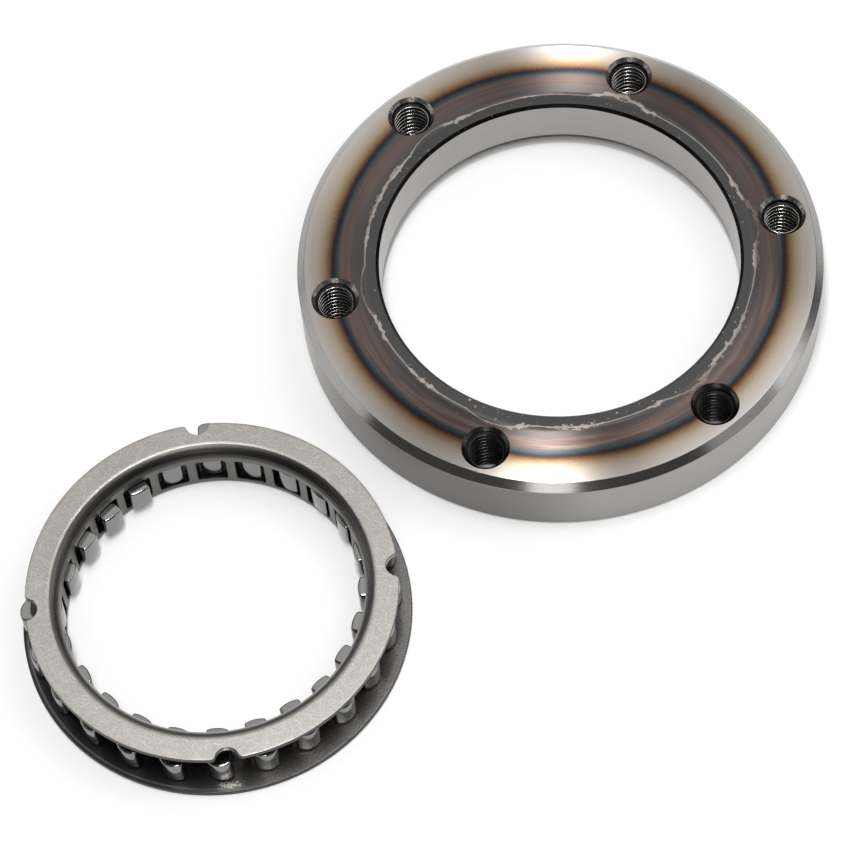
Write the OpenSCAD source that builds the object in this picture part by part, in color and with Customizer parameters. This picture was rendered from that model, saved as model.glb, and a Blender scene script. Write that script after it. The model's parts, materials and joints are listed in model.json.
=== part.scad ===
// One-way sprag clutch, lying in its two halves: a threaded outer race, and a sheet-steel spool
// cage that carries a ring of sprags and the ribbon spring that tips them.
// The race is centred on the origin and both halves stand on z = 0. Millimetres and degrees.

/* [Sprag space] */
// Diameter of the hub that turns inside the sprags
hub_d = 54.8; // [50:0.1:60]
// Radial space between the hub and the bore of the race, which the sprags fill
sprag_space = 8.3; // [7.6:0.1:9]

/* [Outer race] */
// Radial thickness of the race
race_wall = 16.3; // [15:0.1:24]
// Height of the race
race_h = 14; // [13:0.5:20]
// Width of the bevel round the upper outside edge
edge_bevel = 1.5; // [0.5:0.1:2.2]
// Width of the small bevels at both ends of the bore and round the lower outside edge
edge_break = 0.6; // [0.2:0.1:1]
// Depth of the recess underneath that takes the lower flange of the cage
seat_depth = 3; // [2:0.1:4]

/* [Bolt holes] */
// Number of threaded holes through the race
bolt_count = 6; // [3:1:8]
// Distance from the outside of the race to the centres of the holes
bolt_inset = 7; // [6.8:0.1:8.5]
// Thread diameter of the holes
bolt_d = 8; // [5:0.5:8.5]
// Width of the countersink round each upper mouth
bolt_mouth = 0.7; // [0.3:0.1:1.1]
// Width of the countersink round each lower mouth
bolt_foot = 0.5; // [0.2:0.1:0.5]
// Angle of the first hole, from the X axis
bolt_turn = 5.4; // [0:0.1:60]

/* [Cage] */
// Radial gap between the hub and the wall of the cage
wall_gap = 1.6; // [1.2:0.1:1.8]
// Height of the cage over both flanges
cage_h = 12.2; // [11.5:0.1:13]
// Thickness of the cage's steel sheet
sheet_t = 1.2; // [0.8:0.1:1.4]
// Outside radius of the upper bend, which rolls the wall over into the upper flange
lip_r = 2.4; // [2:0.1:2.4]
// Outside radius of the lower bend, which is pressed sharp
foot_r = 0.6; // [0.3:0.1:1.2]
// Inside radius of the lower bend
bend_r = 0.5; // [0.3:0.1:0.7]
// How far the lower flange reaches past the bore of the race, on the radius
rim_reach = 1.7; // [1:0.1:2.5]
// Bevel on the cut edges of the flanges
sheet_break = 0.15; // [0.05:0.05:0.3]

/* [Cage notches] */
// Number of half-round notches in the upper flange
notch_count = 4; // [2:1:6]
// Diameter of the notches
notch_d = 4.6; // [3:0.1:6]
// Radius of the shoulders that lead from the edge of the flange into each notch
notch_round = 0.8; // [0.3:0.1:1.2]
// Angle of the first notch, from the X axis
notch_turn = 1; // [0:0.5:90]

/* [Windows] */
// Width of the windows in the wall
window_w = 5.8; // [5.2:0.1:6]
// Height of the windows
window_h = 6.9; // [6:0.1:7.2]
// Height of the strip of wall that is left under the windows, with the flange
window_sill = 1.5; // [1.4:0.1:2]
// Radius of the windows' corners
window_corner = 0.5; // [0.2:0.1:1]

/* [Sprags] */
// Number of sprags in the ring
sprag_count = 24; // [18:1:25]
// Angle of the first sprag, from the X axis
sprag_turn = 12.8; // [0:0.1:20]
// Width of the outer head, which the race rolls on
head_w = 4.6; // [4.2:0.1:5]
// Width of the inner head, which the hub rolls on
toe_w = 4.2; // [3.6:0.1:4.2]
// Width of the waist between the heads
waist_w = 3; // [2.6:0.1:3.2]
// Radius of the hollows on both sides of the waist
hollow_r = 2; // [1.8:0.1:2.2]
// Radius of the outer cam
head_cam_r = 3.2; // [3:0.1:4]
// Radius of the inner cam
toe_cam_r = 6; // [3:0.1:6.5]
// Sideways offset of each cam's centre, which makes the sprag a wedge
cam_offset = 0.4; // [0.1:0.1:0.6]

/* [Ribbon spring] */
// Thickness of the spring band
ribbon_t = 0.25; // [0.15:0.05:0.4]
// Length of the tongues that press on the sprags
tongue_len = 0.35; // [0.1:0.05:0.4]
// Height of the tongues
tongue_h = 2; // [1:0.1:2.6]
// Width of the relief slot beside each tongue
slot_w = 1.1; // [0.8:0.1:1.3]
// Height of the relief slot
slot_h = 2.2; // [1:0.1:2.8]

/* [Fits] */
// Radial clearance of the flanges in the race
flange_gap = 0.2; // [0.1:0.05:0.5]
// Clearance of the sprags' tips from the hub and the bore
tip_gap = 0.1; // [0:0.05:0.2]
// Clearance at the ends of the sprags and the edges of the ribbon spring
end_gap = 0.25; // [0.15:0.05:0.3]
// Clearance between the sprags' heads and the openings of the ribbon spring
ribbon_gap = 0.35; // [0.25:0.05:0.45]

/* [Layout] */
// Gap between the two halves where they lie side by side
lay_gap = 7.55; // [2:0.05:40]
// Direction from the race to the cage, from the X axis
lay_turn = 221; // [0:0.1:360]

/* [Hidden] */
$fn = 96;
// Overlap of a cut past the face that it opens
cut = 1;
// How far each sprag has slid out (+) or in (-) along its radius, going round from the first
sprag_slip = [0.4, 0.7, 1.1, 1.5, 1.9, 2.3, 1.8, -0.4, -1.1, -0.9, -0.1, 1.4,
              0.7, 0.1, -0.1, -0.1, 0, -0.4, -0.7, -1, -0.7, -0.8, -0.5, -0.1];

hub_r = hub_d / 2;
bore_r = hub_r + sprag_space;
race_r = bore_r + race_wall;
bolt_r = bolt_d / 2;
flange_r = bore_r - flange_gap;
rim_r = bore_r + rim_reach;
seat_r = rim_r + flange_gap;
wall_r = hub_r + wall_gap;
channel_r = wall_r + sheet_t;
ribbon_r = channel_r + bend_r + end_gap;
pivot_r = ribbon_r + ribbon_t / 2;
ribbon_low = sheet_t + end_gap;
ribbon_high = cage_h - sheet_t - end_gap;
sprag_low = window_sill + end_gap;
sprag_len = window_h - 2 * end_gap;
sprag_mid = sprag_low + sprag_len / 2;
opening_w = head_w + 2 * ribbon_gap;
cage_at = (race_r + lay_gap + rim_r) * [cos(lay_turn), sin(lay_turn), 0];

function sprag_angle(i) = sprag_turn + i * 360 / sprag_count;
function sprag_name(i) = str("sprag_", i < 9 ? "0" : "", i + 1);

// Turns a child that stands at the +Y side of the cage to a sprag's place in the ring
module at_sprag(i) {
    rotate([0, 0, sprag_angle(i) - 90]) children();
}

// Block from one radius to another, with its lower and upper inner corners rounded
module bent_block(inner_r, outer_r, low, high, low_r, high_r) {
    width = outer_r - inner_r;
    translate([inner_r, low + low_r]) square([width, high - low - low_r - high_r]);
    translate([inner_r + low_r, low]) square([width - low_r, high - low - high_r]);
    translate([inner_r + high_r, low + low_r]) square([width - high_r, high - low - low_r]);
    translate([inner_r + low_r, low + low_r]) circle(low_r);
    translate([inner_r + high_r, high - high_r]) circle(high_r);
}

// Section of the spool: the wall, the bends and the two flanges with their bevelled cut edges
module spool_section() {
    top = cage_h - sheet_t;
    difference() {
        bent_block(wall_r, rim_r, 0, cage_h, foot_r, lip_r);
        bent_block(channel_r, rim_r + cut, sheet_t, top, bend_r, lip_r - sheet_t);
        translate([flange_r, sheet_t]) square([rim_r - flange_r + cut, cage_h]);
        for (edge = [[rim_r, 0], [rim_r, sheet_t], [flange_r, top], [flange_r, cage_h]])
            translate(edge) rotate(45) square(sheet_break * sqrt(2), center = true);
    }
}

// Square with round corners, centred on the origin
module rounded_square(width, height, corner_r) {
    square([width - 2 * corner_r, height], center = true);
    square([width, height - 2 * corner_r], center = true);
    for (x = [-1, 1], y = [-1, 1])
        translate([x * (width / 2 - corner_r), y * (height / 2 - corner_r)]) circle(corner_r);
}

module wall_windows() {
    depth = sheet_t + 2 * cut;
    for (i = [0 : sprag_count - 1])
        at_sprag(i)
            translate([0, channel_r + cut, window_sill + window_h / 2])
                rotate([90, 0, 0])
                    linear_extrude(depth) rounded_square(window_w, window_h, window_corner);
}

// Outline of a notch, centred on the edge of the flange, with a rounded shoulder on each side
module notch_outline() {
    notch_r = notch_d / 2;
    back = notch_round + notch_r * (notch_r + 2 * notch_round) / (2 * flange_r);
    aside = sqrt(pow(notch_r + notch_round, 2) - back * back);
    past = (flange_r + notch_r) / (flange_r - notch_round);
    circle(notch_r);
    for (side = [-1, 1])
        difference() {
            polygon([
                [0, 0],
                [-back, side * aside],
                [past * (flange_r - back) - flange_r, past * side * aside],
            ]);
            translate([-back, side * aside]) circle(notch_round);
        }
}

module flange_notches() {
    for (i = [0 : notch_count - 1])
        rotate([0, 0, notch_turn + i * 360 / notch_count])
            translate([flange_r, 0, cage_h - sheet_t - cut])
                linear_extrude(sheet_t + 2 * cut) notch_outline();
}

module bolt_hole() {
    translate([0, 0, -cut]) cylinder(h = race_h + 2 * cut, r = bolt_r);
    translate([0, 0, race_h - bolt_mouth])
        cylinder(h = bolt_mouth + cut, r1 = bolt_r, r2 = bolt_r + bolt_mouth + cut);
    translate([0, 0, -cut])
        cylinder(h = bolt_foot + cut, r1 = bolt_r + bolt_foot + cut, r2 = bolt_r);
}

// Head of a sprag, from its rounded tip at the origin down to the waist
module cam_head(reach, width, cam_r) {
    intersection() {
        translate([-width / 2, -reach]) square([width, reach]);
        union() {
            translate([-cam_offset, -cam_r]) circle(cam_r);
            translate([-width / 2, -cam_r - reach]) square([width, reach]);
        }
    }
}

// Outline of a sprag seen along the axis: two offset cams joined by a hollowed waist
module sprag_outline() {
    toe_tip = hub_r + tip_gap;
    head_tip = bore_r - tip_gap;
    difference() {
        union() {
            translate([0, head_tip]) cam_head(head_tip - pivot_r, head_w, head_cam_r);
            translate([0, toe_tip]) rotate(180) cam_head(pivot_r - toe_tip, toe_w, toe_cam_r);
        }
        for (side = [-1, 1])
            translate([side * (waist_w / 2 + hollow_r), pivot_r]) circle(hollow_r);
    }
}

module outer_race() {
    color([0.6, 0.58, 0.56])
        difference() {
            rotate_extrude()
                polygon([
                    [seat_r, 0],
                    [race_r - edge_break, 0],
                    [race_r, edge_break],
                    [race_r, race_h - edge_bevel],
                    [race_r - edge_bevel, race_h],
                    [bore_r + edge_break, race_h],
                    [bore_r, race_h - edge_break],
                    [bore_r, seat_depth + edge_break],
                    [bore_r + edge_break, seat_depth],
                    [seat_r, seat_depth],
                ]);
            for (i = [0 : bolt_count - 1])
                rotate([0, 0, bolt_turn + i * 360 / bolt_count])
                    translate([race_r - bolt_inset, 0, 0]) bolt_hole();
        }
}

module sprag_cage() {
    color([0.7, 0.68, 0.64])
        translate(cage_at)
            difference() {
                rotate_extrude() spool_section();
                wall_windows();
                flange_notches();
            }
}

// Spring band with an opening for each sprag, a tongue at its side and a relief slot above that
module ribbon_spring() {
    depth = ribbon_t + 2 * cut;
    color([0.22, 0.23, 0.23])
        translate(cage_at) {
            difference() {
                translate([0, 0, ribbon_low])
                    rotate_extrude()
                        translate([ribbon_r, 0]) square([ribbon_t, ribbon_high - ribbon_low]);
                for (i = [0 : sprag_count - 1])
                    at_sprag(i) {
                        translate([-opening_w / 2, ribbon_r - cut, sprag_low - end_gap])
                            cube([opening_w, depth, sprag_len + 2 * end_gap]);
                        translate([-opening_w / 2 - slot_w, ribbon_r - cut, sprag_mid + tongue_h / 2])
                            cube([slot_w + cut, depth, slot_h]);
                    }
            }
            for (i = [0 : sprag_count - 1])
                intersection() {
                    at_sprag(i)
                        translate([-opening_w / 2 - slot_w, 0, sprag_mid - tongue_h / 2])
                            cube([slot_w + tongue_len, ribbon_r + cut, tongue_h]);
                    rotate_extrude()
                        translate([ribbon_r, 0]) square([ribbon_t, cage_h]);
                }
        }
}

module sprag(i) {
    color([0.74, 0.75, 0.76])
        translate(cage_at)
            at_sprag(i)
                translate([0, sprag_slip[i % len(sprag_slip)], sprag_low])
                    linear_extrude(sprag_len) sprag_outline();
}

outer_race();
sprag_cage();
ribbon_spring();
for (i = [0 : sprag_count - 1])
    sprag(i);
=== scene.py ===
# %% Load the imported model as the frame
import json
import math

import bmesh
import bpy
from mathutils import Matrix, Vector

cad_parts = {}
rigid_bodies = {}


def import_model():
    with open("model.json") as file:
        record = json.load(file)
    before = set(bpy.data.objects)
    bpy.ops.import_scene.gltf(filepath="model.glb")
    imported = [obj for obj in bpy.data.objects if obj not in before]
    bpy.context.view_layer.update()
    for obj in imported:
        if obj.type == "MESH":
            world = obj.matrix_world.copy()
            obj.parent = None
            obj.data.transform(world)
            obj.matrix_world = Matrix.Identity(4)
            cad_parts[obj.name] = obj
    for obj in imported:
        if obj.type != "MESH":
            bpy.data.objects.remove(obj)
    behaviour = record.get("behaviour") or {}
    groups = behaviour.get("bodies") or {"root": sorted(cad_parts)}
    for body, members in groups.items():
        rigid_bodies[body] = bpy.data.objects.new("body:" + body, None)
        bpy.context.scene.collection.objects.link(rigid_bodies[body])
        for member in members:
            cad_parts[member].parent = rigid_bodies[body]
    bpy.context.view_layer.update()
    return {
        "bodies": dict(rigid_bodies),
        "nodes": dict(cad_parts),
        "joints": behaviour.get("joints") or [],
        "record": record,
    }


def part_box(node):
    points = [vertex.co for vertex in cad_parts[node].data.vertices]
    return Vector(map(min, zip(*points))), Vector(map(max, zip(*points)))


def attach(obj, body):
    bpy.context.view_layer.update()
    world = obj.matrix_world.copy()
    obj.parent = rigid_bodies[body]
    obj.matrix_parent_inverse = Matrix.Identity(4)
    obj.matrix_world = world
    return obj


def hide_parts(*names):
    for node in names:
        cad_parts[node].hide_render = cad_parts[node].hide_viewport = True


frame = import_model()
MM = 0.001

# %% [markdown]
# This is a one-way sprag clutch, lying in its two halves. A bevelled steel race with six threaded holes lies at
# the back. In front of it lies the cage, a spool of steel sheet that holds a ring of polished sprags.
# The CAD model already says where each piece is, so the sizes below are read from it wherever it has them, in
# millimetres. What the frame doesn't name, such as the thickness of the sheet, is written where it is first used.

# %% Sizes that the frame gives
mounts = {mount["name"]: mount for mount in frame["record"]["mounts"]}
pivots = {joint["child"]: Vector(joint["pos_m"]) / MM for joint in frame["joints"] if joint["type"] == "hinge"}
race_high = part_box("outer_race")[1] / MM
race_r, race_h = race_high.x, race_high.z
bore_r = mounts["race_bore"]["dims"]["r_mm"]
cage_low, cage_high = (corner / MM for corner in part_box("sprag_cage"))
cage_at = Vector(((cage_low.x + cage_high.x) / 2, (cage_low.y + cage_high.y) / 2, 0))
rim_r = (cage_high.x - cage_low.x) / 2
cage_h = cage_high.z
print(f"race: radius {race_r:.2f}, height {race_h:.2f}, bore radius {bore_r:.2f}")
print(f"cage: at {cage_at.x:.2f} {cage_at.y:.2f}, rim radius {rim_r:.2f}, height {cage_h:.2f}")

# %% [markdown]
# The photograph looks down on the two halves from the front, with a long lens and a slight tilt of the camera.
# The camera could be placed by eye, but its matrix is built here from an angle above the floor, a roll, a distance
# and the point that it looks at, because each of those can then be set by itself against the outline of the race.

# %% Camera
look_at = Vector((-29.83, -26.88, 0))
look_down = math.radians(61.065)
roll = math.radians(-6.017)
distance = 688.86
forward = Vector((0, math.cos(look_down), -math.sin(look_down)))
level_right = Vector((1, 0, 0))
level_up = Vector((0, math.sin(look_down), math.cos(look_down)))
right = math.cos(roll) * level_right + math.sin(roll) * level_up
up = math.cos(roll) * level_up - math.sin(roll) * level_right
camera_data = bpy.data.cameras.new("camera")
camera_data.sensor_width = 36
camera_data.lens = 148.03
camera = bpy.data.objects.new("camera", camera_data)
bpy.context.scene.collection.objects.link(camera)
turn = Matrix((right, up, -forward)).transposed().to_4x4()
camera.matrix_world = Matrix.Translation((look_at - distance * forward) * MM) @ turn
bpy.context.scene.camera = camera
print("camera at", [round(x, 3) for x in camera.location])

# %% [markdown]
# Every material and every Geometry Nodes tree below is a set of nodes and links. A few small helpers keep those
# cells short: one adds a node with its settings and inputs, and the others do the same for the many Math nodes, mix
# two colours, fade a value in or out as a mask, and lay masks over each other.
# An input is either a plain value or the output socket of another node, which is then linked.

# %% Helpers for node trees
def add(tree, kind, inputs=None, **settings):
    made = tree.nodes.new(kind)
    for name, value in settings.items():
        setattr(made, name, value)
    for name, value in (inputs or {}).items():
        if isinstance(value, bpy.types.NodeSocket):
            tree.links.new(value, made.inputs[name])
        else:
            made.inputs[name].default_value = value
    return made


def calc(tree, operation, *values, clamp=False):
    return add(tree, "ShaderNodeMath", dict(enumerate(values)), operation=operation, use_clamp=clamp).outputs[0]


def calc3(tree, operation, first, second=None):
    inputs = {0: first}
    if second is not None:
        inputs["Scale" if operation == "SCALE" else 1] = second
    made = add(tree, "ShaderNodeVectorMath", inputs, operation=operation)
    return made.outputs["Value" if operation in ("LENGTH", "DISTANCE", "DOT_PRODUCT") else "Vector"]


def axes(tree, place):
    return add(tree, "ShaderNodeSeparateXYZ", {0: place}).outputs


def tint(tree, factor, below, above):
    return add(tree, "ShaderNodeMix", {0: factor, 6: below, 7: above}, data_type="RGBA").outputs[2]


def share(tree, value, low, high, to_low=0.0, to_high=1.0):
    spread = {"Value": value, "From Min": low, "From Max": high, "To Min": to_low, "To Max": to_high}
    return add(tree, "ShaderNodeMapRange", spread, interpolation_type="SMOOTHSTEP").outputs[0]


def overlap(tree, mask, *others):
    for other in others:
        mask = calc(tree, "MULTIPLY", mask, other)
    return mask


def rgb(red, green, blue):
    return (red, green, blue, 1)


# %% [markdown]
# Both halves lie on a sheet of matt white paper. It keeps the soft shadow of the parts, and a little emission, seen
# only by the camera and in reflections, lifts the open sheet to white without lighting the parts. The sheet under the
# race never sees the room, so the emission stops there and the bolt holes stay dark. Far from the parts, where
# the lamps no longer reach, the camera sees a little more of it, so the sheet fades into the white of the room.

# %% White sheet
scene = bpy.context.scene
scene.view_settings.view_transform = "Standard"

sheet_paper = bpy.data.materials.new("white_sheet")
sheet_paper.use_nodes = True
tree = sheet_paper.node_tree
tree.nodes.clear()
path = add(tree, "ShaderNodeLightPath")
seen = calc(tree, "MAXIMUM", path.outputs["Is Camera Ray"], path.outputs["Is Glossy Ray"])
seen = calc(tree, "MAXIMUM", seen, path.outputs["Is Transmission Ray"])
spot = add(tree, "ShaderNodeTexCoord").outputs["Object"]

open_lift, edge_fade = 0.19, 0.6
from_axis = calc3(tree, "LENGTH", spot)
covered = overlap(tree, share(tree, from_axis, bore_r * MM, (bore_r + edge_fade) * MM),
                  share(tree, from_axis, race_r * MM, (race_r - edge_fade) * MM))
uncovered = calc(tree, "SUBTRACT", 1.0, covered, clamp=True)
lift = calc(tree, "MULTIPLY", calc(tree, "MULTIPLY", seen, open_lift), uncovered)
far_lift, fade_start, fade_end = 0.5, 0.20, 0.65
from_middle = calc3(tree, "DISTANCE", spot, look_at * MM)
far = share(tree, from_middle, fade_start, fade_end, 0.0, far_lift)
lift = calc(tree, "ADD", lift, calc(tree, "MULTIPLY", far, path.outputs["Is Camera Ray"]))
matt = add(tree, "ShaderNodeBsdfDiffuse", {"Color": rgb(0.88, 0.88, 0.88)})
glow = add(tree, "ShaderNodeEmission", {"Color": rgb(1, 1, 1), "Strength": lift})
both = add(tree, "ShaderNodeAddShader", {0: matt.outputs[0], 1: glow.outputs[0]})
add(tree, "ShaderNodeOutputMaterial", {"Surface": both.outputs[0]})

reach, under_parts = 3.0, -0.00003
corners = [(x * reach, y * reach, under_parts) for x, y in ((-1, -1), (1, -1), (1, 1), (-1, 1))]
sheet_mesh = bpy.data.meshes.new("sheet")
sheet_mesh.from_pydata(corners, [], [(0, 1, 2, 3)])
sheet_mesh.materials.append(sheet_paper)
paper = bpy.data.objects.new("sheet", sheet_mesh)
scene.collection.objects.link(paper)
print("sheet:", 2 * reach, "m wide")

# %% [markdown]
# What makes steel look like steel is what it mirrors. The bright wedges across the turned face, at the top and at the
# bottom, show a narrow strip light overhead that runs on down in front of the parts. The bevel shows a low panel at
# each side with darkness between them, and the even grey of the flat faces shows a broad panel at the back. So each
# panel is given by its brightness in a mirror, where 1 is white, and the power follows from its area.

# %% Room and panels
room = bpy.data.worlds.new("room")
room.use_nodes = True
scene.world = room
tree = room.node_tree
tree.nodes.clear()
path = add(tree, "ShaderNodeLightPath")
dim_room, white_room = 0.10, 1.0
level = add(tree, "ShaderNodeMix", {0: path.outputs["Is Camera Ray"], 2: dim_room, 3: white_room})
backdrop = add(tree, "ShaderNodeBackground", {"Color": rgb(1, 1, 1), "Strength": level.outputs[0]})
add(tree, "ShaderNodeOutputWorld", {"Surface": backdrop.outputs[0]})

WATTS_PER_AREA = 4


def soft_panel(name, place, size, brightness, aim=None, spin=0.0):
    data = bpy.data.lights.new(name, "AREA")
    data.shape = "RECTANGLE"
    data.size, data.size_y = size
    data.energy = WATTS_PER_AREA * size[0] * size[1] * brightness
    lamp = bpy.data.objects.new(name, data)
    scene.collection.objects.link(lamp)
    lamp.location = place
    lamp.rotation_euler = (0, 0, math.radians(spin))
    if aim is not None:
        lamp.rotation_euler = (Vector(aim) - Vector(place)).to_track_quat("-Z", "Y").to_euler()
    return lamp


middle = (-0.03, -0.03, 0.0)
panels = [
    soft_panel("strip_overhead", (-0.080, -0.20, 1.0), (0.13, 0.66), 18.0, spin=-7.3),
    soft_panel("strip_front", (-0.15, -0.86, 0.52), (0.25, 0.46), 1.7, aim=middle),
    soft_panel("panel_back", (0.0, 0.62, 0.95), (1.3, 0.62), 0.52, aim=middle),
    soft_panel("panel_right", (0.31, 0.01, 0.53), (0.32, 0.48), 1.5, aim=middle),
    soft_panel("panel_left", (-0.66, 0.16, 0.80), (0.5, 0.5), 0.4, aim=middle),
    soft_panel("low_right", (0.97, -0.06, 0.24), (0.46, 0.2), 1.2, aim=middle),
    soft_panel("low_left", (-0.95, 0.13, 0.22), (0.76, 0.42), 0.75, aim=middle),
    soft_panel("fill_right", (0.80, -0.48, 0.40), (0.5, 0.4), 0.42, aim=middle),
]
for lamp in panels:
    print(f"{lamp.name}: {lamp.data.energy:.2f} W")

# %% [markdown]
# Three effects are shared by several finishes, so each is a shader node group. They could be drawn as image textures,
# but noise in three dimensions has no seams and needs no unwrapping. All of them read a place in millimetres.
# The first is the fine rings that a lathe leaves. Its noise changes fast across the grooves and slowly along them,
# because the heading round the axis, and not the place itself, moves it along.

# %% Lathe rings
def node_group(name, kind, inputs, outputs):
    tree = bpy.data.node_groups.new(name, kind)
    for label, socket in inputs:
        tree.interface.new_socket(name=label, in_out="INPUT", socket_type=socket)
    for label, socket in outputs:
        tree.interface.new_socket(name=label, in_out="OUTPUT", socket_type=socket)
    return tree, tree.nodes.new("NodeGroupInput").outputs, tree.nodes.new("NodeGroupOutput").inputs


def around(tree, place):
    flat = calc3(tree, "MULTIPLY", place, (1, 1, 0))
    return calc3(tree, "LENGTH", flat), calc3(tree, "NORMALIZE", flat)


SHADER, FLOAT, VECTOR = "ShaderNodeTree", "NodeSocketFloat", "NodeSocketVector"
turned_rings, given, result = node_group(
    "turned_rings", SHADER, [("Place", VECTOR), ("Rings per mm", FLOAT), ("Run", FLOAT)], [("Height", FLOAT)])
radius, heading = around(turned_rings, given["Place"])
depth = axes(turned_rings, given["Place"])["Z"]
ring = calc(turned_rings, "MULTIPLY", calc(turned_rings, "SUBTRACT", radius, depth), given["Rings per mm"])
across = add(turned_rings, "ShaderNodeCombineXYZ", {"Z": ring}).outputs[0]
spot = calc3(turned_rings, "ADD", calc3(turned_rings, "SCALE", heading, given["Run"]), across)
noise = add(turned_rings, "ShaderNodeTexNoise", {"Vector": spot, "Scale": 1.0, "Detail": 3.0, "Roughness": 0.6})
turned_rings.links.new(noise.outputs[0], result["Height"])
print("effect:", turned_rings.name, len(turned_rings.nodes), "nodes")

# %% [markdown]
# Tumbled and handled steel is covered in short straight scratches. One stretched noise could make them, but real ones
# cross, so the same noise is laid in four directions and the strongest is kept. Only the peaks of each noise become
# scratches, and the input Share sets how many.

# %% Crossed scratches
crossed_scratches, given, result = node_group(
    "crossed_scratches", SHADER, [("Place", VECTOR), ("Width mm", FLOAT), ("Share", FLOAT)], [("Mask", FLOAT)])
fine = calc(crossed_scratches, "DIVIDE", 1.0, given["Width mm"])
scaled = calc3(crossed_scratches, "SCALE", given["Place"], fine)
start = calc(crossed_scratches, "SUBTRACT", 0.78, calc(crossed_scratches, "MULTIPLY", given["Share"], 0.3))
full = calc(crossed_scratches, "ADD", start, 0.07)
mask = None
for heading_deg in (20, 75, 128, 163):
    turned = add(crossed_scratches, "ShaderNodeMapping",
                 {"Vector": scaled, "Location": (heading_deg, 3, 7),
                  "Rotation": (0.25, 0.03, math.radians(heading_deg)), "Scale": (30, 1, 1)}, vector_type="TEXTURE")
    streak = add(crossed_scratches, "ShaderNodeTexNoise",
                 {"Vector": turned.outputs[0], "Scale": 0.5, "Detail": 1.0, "Roughness": 0.5})
    line = add(crossed_scratches, "ShaderNodeMapRange",
               {"Value": streak.outputs[0], "From Min": start, "From Max": full}).outputs[0]
    mask = line if mask is None else calc(crossed_scratches, "MAXIMUM", mask, line)
crossed_scratches.links.new(mask, result["Mask"])
print("effect:", crossed_scratches.name, len(crossed_scratches.nodes), "nodes")

# %% [markdown]
# Specks are spots where dull scale has chipped off and bare steel shows. A threshold on noise would make them all
# alike, so the cells of a Voronoi texture place one in each cell, and a power of the cell's own random value makes
# most of them tiny and a few large.

# %% Specks
specks, given, result = node_group(
    "specks", SHADER, [("Place", VECTOR), ("Apart mm", FLOAT), ("Size", FLOAT)], [("Mask", FLOAT)])
fine = calc(specks, "DIVIDE", 1.0, given["Apart mm"])
scaled = calc3(specks, "SCALE", given["Place"], fine)
cells = add(specks, "ShaderNodeTexVoronoi", {"Vector": scaled, "Scale": 1.0, "Randomness": 1.0})
pick = add(specks, "ShaderNodeSeparateColor", {0: cells.outputs["Color"]}).outputs[0]
size = calc(specks, "MULTIPLY", calc(specks, "POWER", pick, 4.0), given["Size"])
inside = calc(specks, "SUBTRACT", 1.0, calc(specks, "DIVIDE", cells.outputs["Distance"], size), clamp=True)
specks.links.new(share(specks, inside, 0.0, 0.4), result["Mask"])
print("effect:", specks.name, len(specks.nodes), "nodes")

# %% [markdown]
# A finish starts as a material with a Principled BSDF and a place in millimetres, measured from the centre of the
# half that it belongs to. The Mapping node moves and scales the Object coordinates, so each pattern turns about its
# own axis and moves with its piece. The other helpers make cloudy noise, spread it between two levels or swing it
# round zero, say how far a place lies towards one side, and link the results to the shader.

# %% A finish to start from
def finish(name, centre, metallic=1.0, **constants):
    made = bpy.data.materials.new(name)
    made.use_nodes = True
    tree = made.node_tree
    shader = tree.nodes["Principled BSDF"]
    shader.inputs["Metallic"].default_value = metallic
    for label, value in constants.items():
        shader.inputs[label.replace("_", " ")].default_value = value
    spot = add(tree, "ShaderNodeTexCoord").outputs["Object"]
    place = add(tree, "ShaderNodeMapping", {"Vector": spot, "Location": -centre, "Scale": (1 / MM,) * 3}).outputs[0]
    return made, tree, shader, place


def use(tree, group, **inputs):
    named = {label.replace("_", " "): value for label, value in inputs.items()}
    return add(tree, "ShaderNodeGroup", named, node_tree=group).outputs[0]


def clouds(tree, place, scale, detail=2.0):
    return add(tree, "ShaderNodeTexNoise", {"Vector": place, "Scale": scale, "Detail": detail}).outputs[0]


def between(tree, value, low, high):
    return calc(tree, "MULTIPLY_ADD", value, high - low, low)


def swing(tree, value, amount):
    return calc(tree, "MULTIPLY", calc(tree, "SUBTRACT", value, 0.5), amount)


def toward(tree, heading, x, y):
    return calc3(tree, "DOT_PRODUCT", heading, (x, y, 0))


def relief(tree, shader, height, mm):
    bump = add(tree, "ShaderNodeBump", {"Height": height, "Distance": mm * MM, "Strength": 1.0})
    tree.links.new(bump.outputs[0], shader.inputs["Normal"])


def feed(tree, shader, color=None, roughness=None):
    if color is not None:
        tree.links.new(color, shader.inputs["Base Color"])
    if roughness is not None:
        tree.links.new(roughness, shader.inputs["Roughness"])


RACE_CENTRE = Vector((0, 0, 0))
print("finishes are measured from", tuple(RACE_CENTRE), "and", tuple(round(x, 2) for x in cage_at))

# %% [markdown]
# The upper face of the race was turned on a lathe and then hardened at the bore, and the heat left bands of temper
# colour: bare grey at the rim, then straw, brown, a thin dark blue ring through the bolt circle, dark steel with
# coppery streaks, and dull grey scale round the bore. The face could be painted by hand, but a colour ramp on the
# distance from the axis is what the heat did. The lathe rings stretch each highlight across the grooves.

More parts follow.
